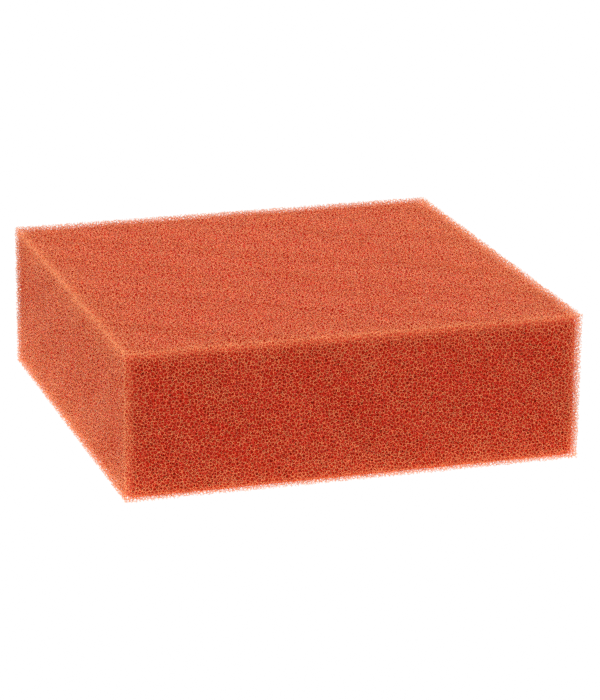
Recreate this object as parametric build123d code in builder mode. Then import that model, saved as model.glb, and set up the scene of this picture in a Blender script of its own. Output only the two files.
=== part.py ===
from build123d import *

import os

# Open-cell foam block: a square slab knife-cut from reticulated polyurethane foam.
#
# The block is one piece, with flat cut faces, sharp edges and no insert, hole or skin.
# Its open cells are far finer than its shape, so the solid is the envelope that the cut
# ends of the cell struts reach. All sizes are in millimetres.
#
# Frame: the origin is the centre of the bottom face, +Z is up through the thickness, and
# +X runs along the front edge, so that the front face looks along -Y.

# Driving dimensions
side = 250.0  # the slab is square in plan
thickness = 80.0  # bottom face to top face, and the slab's only other size

with BuildPart() as foam_block:
    with BuildSketch(Plane.XY) as plan:
        Rectangle(side, side)
    extrude(amount=thickness)

foam_block.part.label = "foam_block"

os.makedirs("parts", exist_ok=True)
export_step(foam_block.part, "parts/foam_block.step")
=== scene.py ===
"""Looks of the open-cell foam block: a web of foam struts around a core, in a white studio.

The web is real geometry. A random cellular foam is grown once in a cube that repeats without
a seam (a "tile"), its copies fill the block, and the block's flat faces cut it like a knife.
Only an outer layer of the web is kept, because one can hardly see further in; a closed core
stands for the rest. Lengths are in millimetres until a mesh is made or a light is placed.
"""

import itertools
import math

import bmesh
import bpy
import numpy as np
from mathutils import Matrix, Vector


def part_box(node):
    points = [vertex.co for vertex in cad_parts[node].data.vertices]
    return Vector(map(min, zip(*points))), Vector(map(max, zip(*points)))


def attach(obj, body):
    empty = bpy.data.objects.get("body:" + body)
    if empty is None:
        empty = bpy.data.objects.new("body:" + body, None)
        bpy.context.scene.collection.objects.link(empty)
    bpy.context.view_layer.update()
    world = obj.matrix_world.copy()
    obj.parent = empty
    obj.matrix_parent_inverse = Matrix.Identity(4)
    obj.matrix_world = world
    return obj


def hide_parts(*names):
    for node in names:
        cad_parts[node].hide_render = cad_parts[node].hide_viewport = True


MM = 0.001  # metres in a millimetre

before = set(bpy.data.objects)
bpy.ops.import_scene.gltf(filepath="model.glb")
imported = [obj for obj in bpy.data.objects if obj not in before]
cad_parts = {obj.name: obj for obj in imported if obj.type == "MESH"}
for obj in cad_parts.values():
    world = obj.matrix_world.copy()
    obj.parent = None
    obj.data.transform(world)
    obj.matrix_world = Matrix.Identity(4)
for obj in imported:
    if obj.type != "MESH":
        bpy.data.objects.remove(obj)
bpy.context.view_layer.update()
low, high = (np.array(corner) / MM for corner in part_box("foam_block"))
size = high - low
middle = (low + high) / 2

# Foam tile
seeds_per_side = 34  # cells along one side of the repeating tile
tile = size[0] / 4  # side of the repeating tile
cell = tile / seeds_per_side  # cube root of the mean cell volume
even_rounds = 6  # times the cell seeds are pushed apart
even_reach = 1.12 * cell  # seeds closer than this push each other
even_share = 0.3  # how much of that gap each push closes
pushing_cells = 14  # nearest cells that may push a cell
near_chunks = 40  # parts in which near cells are looked for, to save memory
junction_chunks = 120  # the same for the junctions
joined_cells = 22  # nearest cells that may meet a cell at a junction
checked_cells = 40  # nearest cells that may be in the way of one
search_radius = 2.15 * cell  # least side of the bins in which near cells are looked for
largest_sphere = 1.25 * cell  # radius of the largest empty sphere between seeds
rounding = 1e-8  # square of a length too short to count
relax_rounds = 3  # times the junctions are pulled towards their neighbours
relax_share = 0.45  # how far towards the neighbours' middle each time
torn_share = 0.4  # length of a strut whose neighbour is missing, as a share of its siblings' sum

# Web in the block
drift_waves = ((0.051, 0.083, 0.067), (0.087, 0.045, 0.101), (0.063, 0.107, 0.049))  # radians per mm
drift_sizes = (0.9, 0.6)  # of the long waves and of the shorter ones on top of them
drift_ratio = 1.7  # long wavelength over the shorter one
side_shell = 1.6  # how deep the struts are modelled below the side faces
top_shell = 1.4  # the same below the top face, which is seen at a low angle
bottom_shell = 0.2  # the same below the bottom face, which is not seen
core_radius = 5.0  # rounding of the core's edges, which leaves more struts at the block's edges
core_cover = 0.1  # how far into the core the web is still modelled, so that it's joined to it
hub_size = (0.11, 0.15)  # from a strut junction's centre to its corners, thinnest and thickest
overhang = 0.35  # how far the longest cut ends stand proud of the block's nominal faces
cut_slack = 0.5  # how far short of that a strut may end
skew = 0.25  # how far a cut end's corners may be ahead of or behind its middle
least_run = 0.02  # shortest strut edge
least_depth = 0.05  # junctions nearer to the cut than this are cut away
stub_share = 0.8  # length of a strut that ends at the core, as a share of its full length
patch_ends = (  # where the web is divided into pieces, as shares of the block's size
    (0.18, 0.4, 0.6, 0.82),
    (0.18, 0.4, 0.6, 0.82),
    (0.5,),
)

# Colour
deepest = 2.0  # apparent depth at which the strut colour stops changing
edge_reach = 4.0  # how far in from an edge the struts look paler, in painted light that comes in from two sides
# Struts look this many times less deep below a face, the more light falls on it:
light_low = np.array([1.25, 1.0, 2.0])  # left, front and bottom
light_high = np.array([2.0, 1.3, 1.3])  # right, back and top
tip_colour = (0.95, 0.345, 0.119, 1)  # struts at the cut faces, paler with painted light that reaches them
deep_colour = (0.96, 0.055, 0.022, 1)  # struts further in: painted shade, redder and darker as less light reaches them
deep_from = 0.52  # share of the deepest depth where that colour is reached
tone_range = (0.8, 1.1)  # brightness of the darkest and the brightest strut
core_wall_colour = (0.47, 0.021, 0.008, 1)  # the core where its struts would be, darker than the struts with painted shade of the foam further in
core_pore_colour = (0.2, 0.01, 0.004, 1)  # the core in its pores, darker still with painted shade in the pores
core_edge_colour = (0.63, 0.09, 0.035, 1)  # the core at the block's edges, where light shines through

rng = np.random.default_rng(7)


# ---------------------------------------------------------------- foam tile


def near_points(points, count):
    """The `count` nearest other points of each point in the repeating tile: indices and vectors."""
    bins = int(tile / search_radius)
    place = np.floor(points / tile * bins).astype(int) % bins
    bin_of = np.ravel_multi_index(place.T, (bins,) * 3)
    order = np.argsort(bin_of, kind="stable")
    held = np.bincount(bin_of, minlength=bins**3)
    rank = np.arange(len(points)) - (np.cumsum(held) - held)[bin_of[order]]
    table = np.full((bins**3, held.max()), -1)
    table[bin_of[order], rank] = order
    around = np.array(list(itertools.product((-1, 0, 1), repeat=3)))
    ids, vectors = [], []
    for block in np.array_split(np.arange(len(points)), near_chunks):
        bins_near = (place[block, None] + around) % bins
        rows = np.ravel_multi_index(np.moveaxis(bins_near, -1, 0), (bins,) * 3)
        found = table[rows].reshape(len(block), -1)
        gap = points[found] - points[block, None]
        gap -= tile * np.round(gap / tile)
        square = (gap**2).sum(-1)
        square[(found < 0) | (found == block[:, None])] = np.inf
        best = np.argpartition(square, count, axis=1)[:, :count]
        rank_of = np.argsort(np.take_along_axis(square, best, 1), axis=1)
        best = np.take_along_axis(best, rank_of, 1)
        ids.append(np.take_along_axis(found, best, 1))
        vectors.append(np.take_along_axis(gap, best[..., None], 1))
    return np.concatenate(ids), np.concatenate(vectors)


def cell_seeds():
    """One random point in each small cube of the tile, then pushed apart to even out the cells."""
    grid = np.array(list(itertools.product(range(seeds_per_side), repeat=3)))
    points = (grid + rng.random(grid.shape)) * cell
    for _ in range(even_rounds):
        _, gap = near_points(points, pushing_cells)
        length = np.linalg.norm(gap, axis=-1, keepdims=True)
        push = np.clip(even_reach - length, 0, None) / length
        points = (points - even_share * (push * gap).sum(1)) % tile
    return points


def cross(a, b):
    """Cross product of vectors stored with x, y and z along the first axis."""
    x = a[1] * b[2] - a[2] * b[1]
    y = a[2] * b[0] - a[0] * b[2]
    z = a[0] * b[1] - a[1] * b[0]
    return np.stack([x, y, z])


def junctions(seeds):
    """Where four cells meet: the centres of empty spheres through four seeds, and those seeds."""
    ids, gaps = near_points(seeds, checked_cells)
    one, two, three = np.array(list(itertools.combinations(range(joined_cells), 3))).T
    members, centres = [], []
    for block in np.array_split(np.arange(len(seeds)), junction_chunks):
        near = np.moveaxis(gaps[block, :joined_cells], -1, 0)
        square = (near**2).sum(0)
        a, b, c = near[:, :, one], near[:, :, two], near[:, :, three]
        bc = cross(b, c)
        centre = square[:, three] * cross(a, b) + square[:, one] * bc + square[:, two] * cross(c, a)
        centre /= 2 * (a * bc).sum(0)
        row, col = np.nonzero((centre**2).sum(0) < largest_sphere**2)
        spot = centre[:, row, col].T
        owner = block[row]
        for k in range(ids.shape[1]):
            other = gaps[owner, k]
            empty = (other**2).sum(1) - 2 * (spot * other).sum(1) > -rounding
            spot, owner, col = spot[empty], owner[empty], col[empty]
        picked = [owner, ids[owner, one[col]], ids[owner, two[col]], ids[owner, three[col]]]
        members.append(np.sort(np.stack(picked, 1), axis=1))
        centres.append(seeds[owner] + spot)
    members, centres = np.concatenate(members), np.concatenate(centres)
    _, first = np.unique(pack_ids(members, len(seeds)), return_index=True)
    return members[first], centres[first] % tile


def pack_ids(rows, base):
    """One whole number per row of ids."""
    key = rows[:, 0].copy()
    for column in rows.T[1:]:
        key = key * base + column
    return key


def wrapped(gap):
    """The shortest form of a vector in the repeating tile."""
    return gap - tile * np.round(gap / tile)


def foam_tile():
    """The tile's junctions, each one's four neighbours, and how the neighbour numbers its strut.

    Strut k of a junction is the one that leaves out the junction's k-th cell."""
    seeds = cell_seeds()
    members, spots = junctions(seeds)
    count = len(members)
    rest = np.array([[k for k in range(4) if k != left_out] for left_out in range(4)])
    faces = pack_ids(members[:, rest].reshape(-1, 3), len(seeds))
    order = np.argsort(faces, kind="stable")
    same = np.nonzero(faces[order][1:] == faces[order][:-1])[0]
    start, end = order[same], order[same + 1]
    partner = np.full(4 * count, -1)
    partner[start], partner[end] = end, start
    partner = partner.reshape(count, 4)
    torn = partner < 0
    neighbour = np.where(torn, np.arange(count)[:, None], partner // 4)
    back = partner % 4
    for _ in range(relax_rounds):
        spots = spots + relax_share * wrapped(spots[neighbour] - spots[:, None]).mean(1)
    leads = wrapped(spots[neighbour] - spots[:, None])
    leads = np.where(torn[..., None], -torn_share * leads.sum(1, keepdims=True), leads)
    corner = seeds[members]
    edges = wrapped(corner[:, 1:] - corner[:, :1])
    turn = np.sign(np.linalg.det(edges))
    return {"spot": spots, "neighbour": neighbour, "lead": leads, "torn": torn, "back": back, "turn": turn}


# ---------------------------------------------------------------- web in the block


def warp(points):
    """A slow drift of the foam, so that no two copies of the tile are cut at the same place."""
    moved = points.copy()
    long_wave, short_wave = drift_sizes
    for axis, wave in enumerate(drift_waves):
        phase = points @ np.array(wave)
        drift = long_wave * np.sin(phase + axis) + short_wave * np.sin(drift_ratio * phase + 2.0 + axis)
        moved[..., axis] += drift
    return moved


cut_low = low - overhang
cut_high = high + overhang


def depth_in_cut(points):
    """Distance to the nearest knife cut, above zero inside."""
    return np.minimum(points - cut_low, cut_high - points).min(-1)


def apparent_depth(points):
    """Depth below the cut faces, less near the block's edges, where light comes in from two sides."""
    gaps = np.minimum((points - cut_low) / light_low, (cut_high - points) / light_high)
    gaps = np.sort(gaps, axis=-1)
    return gaps[..., 0] * gaps[..., 1] / (gaps[..., 1] + edge_reach)


core_low = low + np.array([side_shell, side_shell, bottom_shell])
core_high = high - np.array([side_shell, side_shell, top_shell])


def outside_core(points):
    """Distance to the core, above zero outside it."""
    reach = np.abs(points - (core_low + core_high) / 2) - ((core_high - core_low) / 2 - core_radius)
    beyond = np.linalg.norm(np.clip(reach, 0, None), axis=-1)
    return beyond + np.minimum(reach.max(-1), 0) - core_radius


def web_in_block(foam):
    """The junctions kept in the block's outer layer, with where their struts lead."""
    count = len(foam["spot"])
    far = foam["spot"][foam["neighbour"]]
    wraps = np.round((foam["spot"][:, None] + foam["lead"] - far) / tile).astype(int)
    first = np.floor((low - cell) / tile).astype(int) - 1
    last = np.ceil((high + cell) / tile).astype(int) + 1
    steps = last - first + 1
    kept = {"key": [], "spot": [], "ends": [], "end_key": [], "torn": [], "back": [], "turn": []}
    for copy in itertools.product(*(range(a + 1, b) for a, b in zip(first, last))):
        shift = np.array(copy)
        place = warp(foam["spot"] + shift * tile)
        inside = depth_in_cut(place) > least_depth
        keep = np.nonzero(inside & (outside_core(place) > -core_cover))[0]
        there = shift - first + wraps[keep]
        block = np.ravel_multi_index(np.moveaxis(there, -1, 0), steps)
        kept["key"].append(np.ravel_multi_index(shift - first, steps) * count + keep)
        kept["spot"].append(place[keep])
        kept["ends"].append(warp(foam["spot"][keep, None] + foam["lead"][keep] + shift * tile))
        kept["end_key"].append(block * count + foam["neighbour"][keep])
        for name in ("torn", "back", "turn"):
            kept[name].append(foam[name][keep])
    web = {name: np.concatenate(parts) for name, parts in kept.items()}
    order = np.argsort(web["key"])
    web = {name: values[order] for name, values in web.items()}
    spot_of = np.searchsorted(web["key"], web["end_key"])
    spot_of = np.clip(spot_of, 0, len(order) - 1)
    joined = (web["key"][spot_of] == web["end_key"]) & ~web["torn"]
    web["end"] = np.where(joined, spot_of, -1)
    return web


def add_hubs(web):
    """Adds each junction's hub: four corners, each pointing away from one strut."""
    lead = web["ends"] - web["spot"][:, None]
    web["length"] = np.linalg.norm(lead, axis=-1)
    web["way"] = lead / web["length"][..., None]
    count = len(web["spot"])
    thin, thick = hub_size
    web["radius"] = thin + (thick - thin) * rng.random(count)
    web["hub"] = web["spot"][:, None] - web["radius"][:, None, None] * web["way"]
    web["tone"] = rng.random(count)
    return web


OTHERS = np.array([[1, 2, 3], [0, 3, 2], [0, 1, 3], [0, 2, 1]])  # hub face of each strut, from outside


def hub_faces(web):
    """For each junction and strut, the three hub corners in order around the strut."""
    faces = np.broadcast_to(OTHERS, (len(web["spot"]), 4, 3)).copy()
    mirrored = web["turn"] < 0
    faces[mirrored] = faces[mirrored][:, :, ::-1]
    return faces


def matching_corners(faces, back):
    """The far hub's corner for the same cell, for each corner in `faces`.

    Cells are numbered in sorted order at both ends, so only the left-out numbers differ."""
    own = np.arange(4)[None, :, None]
    rank = faces - (faces > own)
    far = back[..., None]
    return rank + (rank >= far)


def cut_ends(start, way, limit):
    """Runs the three edges of a strut on to `limit` short of the first knife cut that they meet."""
    plane = np.where(way > 0, cut_high, cut_low)
    with np.errstate(divide="ignore"):
        travel_axis = (plane - start.mean(1)) / way
    axis = travel_axis.argmin(-1)
    rows = np.arange(len(start))
    slope = way[rows, axis]
    wall = plane[rows, axis] - np.sign(slope) * limit
    middle_run = (wall - start.mean(1)[rows, axis]) / slope
    runs = (wall[:, None] - start[rows, :, axis]) / slope[:, None]
    runs = np.clip(runs, middle_run[:, None] - skew, middle_run[:, None] + skew)
    runs = np.clip(runs, least_run, None)
    return start + runs[..., None] * way[:, None]


def make_patch(web, faces, matched, chosen, name):
    """One piece of the web as a closed mesh: hubs joined by three-sided struts."""
    local = np.full(len(web["spot"]), -1)
    local[chosen] = np.arange(len(chosen))
    hubs = web["hub"][chosen].reshape(-1, 3)
    tones = np.repeat(web["tone"][chosen], 4)
    node, strut = (grid.ravel() for grid in np.meshgrid(chosen, range(4), indexing="ij"))
    end = web["end"][node, strut]
    inside = (end >= 0) & (local[end] >= 0)

    whole = inside & (node < end)
    near = local[node[whole], None] * 4 + faces[node[whole], strut[whole]]
    far = local[end[whole], None] * 4 + matched[node[whole], strut[whole]]

    stub = ~inside
    stub_node, stub_strut, stub_end = node[stub], strut[stub], end[stub]
    stub_faces = faces[stub_node, stub_strut]
    start = web["hub"][stub_node[:, None], stub_faces]
    way = web["way"][stub_node, stub_strut]
    tip = start + (stub_share * web["length"][stub_node, stub_strut])[:, None, None] * way[:, None]
    shared = stub_end >= 0
    other = web["hub"][stub_end[shared, None], matched[stub_node[shared], stub_strut[shared]]]
    tip[shared] = (start[shared] + other) / 2
    leaves = ~shared & (depth_in_cut(web["ends"][stub_node, stub_strut]) <= least_depth)
    slack = cut_slack * rng.random(leaves.sum()) ** 2
    tip[leaves] = cut_ends(start[leaves], way[leaves], slack)
    tip_ids = len(hubs) + np.arange(tip.shape[0] * 3).reshape(-1, 3)
    tip_tone = np.repeat(web["tone"][stub_node], 3)
    near = np.concatenate([near, local[stub_node, None] * 4 + stub_faces])
    far = np.concatenate([far, tip_ids])

    points = np.concatenate([hubs, tip.reshape(-1, 3)])
    tones = np.concatenate([tones, tip_tone])
    turn = np.array([1, 2, 0])
    sides = np.stack([near, near[:, turn], far[:, turn], far], -1).reshape(-1, 4)
    build_mesh(name, points, sides, tip_ids, tones)


def build_mesh(name, points, quads, triangles, tones):
    """A smooth-shaded piece whose OFBake map holds tone across and depth below the cut upwards."""
    mesh = bpy.data.meshes.new(name)
    mesh.vertices.add(len(points))
    mesh.vertices.foreach_set("co", (points * MM).astype(np.float32).ravel())
    corners = np.concatenate([quads.ravel(), triangles.ravel()])
    sizes = np.repeat([4, 3], [len(quads), len(triangles)])
    mesh.loops.add(len(corners))
    mesh.loops.foreach_set("vertex_index", corners.astype(np.int32))
    mesh.polygons.add(len(sizes))
    mesh.polygons.foreach_set("loop_start", (np.cumsum(sizes) - sizes).astype(np.int32))
    mesh.polygons.foreach_set("use_smooth", np.ones(len(sizes), bool))
    deep = np.clip(apparent_depth(points) / deepest, 0, 1)
    marks = np.stack([tones, deep], 1)[corners]
    layer = mesh.uv_layers.new(name="OFBake")
    layer.data.foreach_set("uv", marks.astype(np.float32).ravel())
    mesh.update(calc_edges=True)
    mesh.materials.append(strut_material)
    piece = bpy.data.objects.new(name, mesh)
    bpy.context.collection.objects.link(piece)
    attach(piece, "root")


def make_web():
    """All the pieces of the web."""
    web = add_hubs(web_in_block(foam_tile()))
    faces = hub_faces(web)
    matched = matching_corners(faces, web["back"])
    share = (web["spot"] - low) / size
    where = [np.searchsorted(ends, share[:, axis]) for axis, ends in enumerate(patch_ends)]
    patches = tuple(len(ends) + 1 for ends in patch_ends)
    patch = np.ravel_multi_index(where, patches)
    for number in np.unique(patch):
        x, y, z = np.unravel_index(number, patches)
        chosen = np.nonzero(patch == number)[0]
        make_patch(web, faces, matched, chosen, f"foam_web_{x}{y}{z}")


# ---------------------------------------------------------------- materials


def node_tree(name):
    """A new material's node tree, with its Principled shader."""
    material = bpy.data.materials.new(name)
    material.use_nodes = True
    tree = material.node_tree
    return material, tree, tree.nodes["Principled BSDF"]


def make_strut_material():
    """Matte dyed polyurethane, no two struts the same, with painted light and shade: paler at the cut
    tips, redder and darker further in.
    """
    material, tree, shader = node_tree("foam_strut")
    marks = tree.nodes.new("ShaderNodeUVMap")
    marks.uv_map = "OFBake"
    parts = tree.nodes.new("ShaderNodeSeparateXYZ")
    tree.links.new(marks.outputs["UV"], parts.inputs[0])
    # painted light and shade: pale tips where light reaches, darker redder struts deeper in
    by_depth = tree.nodes.new("ShaderNodeValToRGB")
    tips, further_in = by_depth.color_ramp.elements
    tips.color = tip_colour
    further_in.position = deep_from
    further_in.color = deep_colour
    tree.links.new(parts.outputs["Y"], by_depth.inputs["Fac"])
    vary = tree.nodes.new("ShaderNodeHueSaturation")
    level = tree.nodes.new("ShaderNodeMapRange")
    level.inputs["To Min"].default_value, level.inputs["To Max"].default_value = tone_range
    tree.links.new(parts.outputs["X"], level.inputs["Value"])
    tree.links.new(level.outputs["Result"], vary.inputs["Value"])
    tree.links.new(by_depth.outputs["Color"], vary.inputs["Color"])
    tree.links.new(vary.outputs["Color"], shader.inputs["Base Color"])
    shader.inputs["Roughness"].default_value = 0.4
    return material


def make_core_material():
    """The foam further in, in painted shade: dark pores between struts, at the web's own cell size.

    Light that comes in from two sides makes it glow at the block's edges."""
    material, tree, shader = node_tree("foam_core")
    place = tree.nodes.new("ShaderNodeTexCoord")
    pores = tree.nodes.new("ShaderNodeTexVoronoi")
    pores.feature = "DISTANCE_TO_EDGE"
    pores.inputs["Scale"].default_value = 1 / (cell * MM)
    tree.links.new(place.outputs["Object"], pores.inputs["Vector"])
    # painted shade: lighter walls and dark pores stand for the deeper web
    ramp = tree.nodes.new("ShaderNodeValToRGB")
    wall, pore = ramp.color_ramp.elements
    wall.position = 0.05
    wall.color = core_wall_colour
    pore.position = 0.3
    pore.color = core_pore_colour
    tree.links.new(pores.outputs["Distance"], ramp.inputs["Fac"])
    edge = tree.nodes.new("ShaderNodeAttribute")
    edge.attribute_name = "edge"
    mix = tree.nodes.new("ShaderNodeMixRGB")
    mix.inputs["Color2"].default_value = core_edge_colour
    tree.links.new(edge.outputs["Fac"], mix.inputs["Fac"])
    tree.links.new(ramp.outputs["Color"], mix.inputs["Color1"])
    tree.links.new(mix.outputs["Color"], shader.inputs["Base Color"])
    shader.inputs["Roughness"].default_value = 0.9
    shader.inputs["Specular IOR Level"].default_value = 0.0
    return material


# ---------------------------------------------------------------- core


def mark_edges(mesh):
    """Marks how far round the core's rounded edges each vertex is, from 0 to 1 at the middle."""
    half = (core_high - core_low) / 2
    points = np.array([vertex.co for vertex in mesh.vertices]) / MM
    around = np.clip(np.abs(points - (core_low + core_high) / 2) - half + core_radius, 0, None)
    slant = 1 - around.max(-1) / np.linalg.norm(around, axis=-1)
    marks = np.clip(slant / (1 - math.sqrt(0.5)), 0, 1)
    mesh.attributes.new("edge", "FLOAT", "POINT").data.foreach_set("value", marks.astype(np.float32))


def make_core():
    """A closed box with rounded edges under the web."""
    mesh = bpy.data.meshes.new("foam_core")
    shape = bmesh.new()
    bmesh.ops.create_cube(shape, size=1)
    for vertex in shape.verts:
        place = (core_low + core_high) / 2 + np.array(vertex.co) * (core_high - core_low)
        vertex.co = Vector(tuple(place * MM))
    bmesh.ops.bevel(
        shape, geom=shape.edges[:], offset=core_radius * MM, segments=8, profile=0.5, affect="EDGES"
    )
    for face in shape.faces:
        face.smooth = True
    shape.to_mesh(mesh)
    shape.free()
    mark_edges(mesh)
    mesh.materials.append(core_material)
    core = bpy.data.objects.new("foam_core", mesh)
    bpy.context.collection.objects.link(core)
    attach(core, "root")
    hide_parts("foam_block")


# ---------------------------------------------------------------- studio

floor_gap = 0.5  # from the block's bottom face down to the floor, which the cut ends stand on
table_gap = 0.45  # from the bottom face down to the lit table, just above the floor
floor_side = 40  # in metres, so that its end is out of sight
world_light = 1.2  # how brightly the surroundings light the block; the camera sees them as white, 1


def make_floor():
    """A pale floor under the block, which the camera sees as white as the studio around it."""
    bpy.ops.mesh.primitive_plane_add(size=floor_side, location=(0, 0, (low[2] - floor_gap) * MM))
    floor = bpy.context.object
    floor.name = "studio_floor"
    material, tree, shader = node_tree("studio_white")
    shader.inputs["Base Color"].default_value = (0.9, 0.9, 0.9, 1)
    shader.inputs["Roughness"].default_value = 1.0
    glow = tree.nodes.new("ShaderNodeEmission")
    seen = tree.nodes.new("ShaderNodeLightPath")
    either = tree.nodes.new("ShaderNodeMixShader")
    tree.links.new(seen.outputs["Is Camera Ray"], either.inputs["Fac"])
    tree.links.new(shader.outputs["BSDF"], either.inputs[1])
    tree.links.new(glow.outputs["Emission"], either.inputs[2])
    tree.links.new(either.outputs["Shader"], tree.nodes["Material Output"].inputs["Surface"])
    floor.data.materials.append(material)


def make_world():
    """White surroundings, which light the block a little more than the camera sees."""
    world = bpy.data.worlds.new("studio")
    world.use_nodes = True
    tree = world.node_tree
    tree.nodes["Background"].inputs["Color"].default_value = (1, 1, 1, 1)
    seen = tree.nodes.new("ShaderNodeLightPath")
    level = tree.nodes.new("ShaderNodeMapRange")
    level.inputs["To Min"].default_value = world_light
    level.inputs["To Max"].default_value = 1.0
    tree.links.new(seen.outputs["Is Camera Ray"], level.inputs["Value"])
    tree.links.new(level.outputs["Result"], tree.nodes["Background"].inputs["Strength"])
    bpy.context.scene.world = world


def add_light(name, place, target, width, power):
    """A square soft light at `place`, facing `target`, both in metres."""
    lamp = bpy.data.lights.new(name, "AREA")
    lamp.size = width
    lamp.energy = power
    light = bpy.data.objects.new(name, lamp)
    bpy.context.collection.objects.link(light)
    light.location = Vector(place)
    light.rotation_euler = (Vector(target) - Vector(place)).to_track_quat("-Z", "Y").to_euler()


def make_lights():
    """Soft lights overhead and at both sides, and a lit table under the block."""
    centre = tuple(middle * MM)
    add_light("overhead", (0, 0.6, 2.2), centre, 1.2, 12)
    add_light("side_left", (-2.2, 0.6, 0.9), centre, 1.2, 4.5)
    add_light("side_right", (2.2, 0.4, 0.6), centre, 1.2, 20)
    add_light("lit_table", (0, 0, (low[2] - table_gap) * MM), (0, 0, 1), 0.29, 0.3)


def make_camera():
    """A long lens above and in front of the block, left of its middle and tilted by half a degree."""
    azimuth, elevation, roll = (math.radians(a) for a in (17.74, 17.69, 0.53))
    distance = 1780 * MM
    forward = Vector(
        (
            math.sin(azimuth) * math.cos(elevation),
            math.cos(azimuth) * math.cos(elevation),
            -math.sin(elevation),
        )
    )
    data = bpy.data.cameras.new("camera")
    data.sensor_width = 36
    data.sensor_fit = "AUTO"
    data.lens = 164.35
    data.clip_start = 0.05
    data.clip_end = 100
    camera = bpy.data.objects.new("camera", data)
    bpy.context.collection.objects.link(camera)
    turn = forward.to_track_quat("-Z", "Y").to_matrix().to_4x4()
    shift = np.array([7.0, -4.3, -6.2])  # puts the block where it stands in the picture
    aim = Vector(tuple((middle + shift) * MM))
    place = Matrix.Translation(aim - forward * distance)
    camera.matrix_world = place @ turn @ Matrix.Rotation(roll, 4, "Z")
    bpy.context.scene.camera = camera


strut_material = make_strut_material()
core_material = make_core_material()
make_web()
make_core()
make_floor()
make_world()
make_lights()
make_camera()
bpy.context.scene.view_settings.view_transform = "Standard"
bpy.context.scene.cycles.use_denoising = False
bpy.context.scene.cycles.sample_clamp_indirect = 3
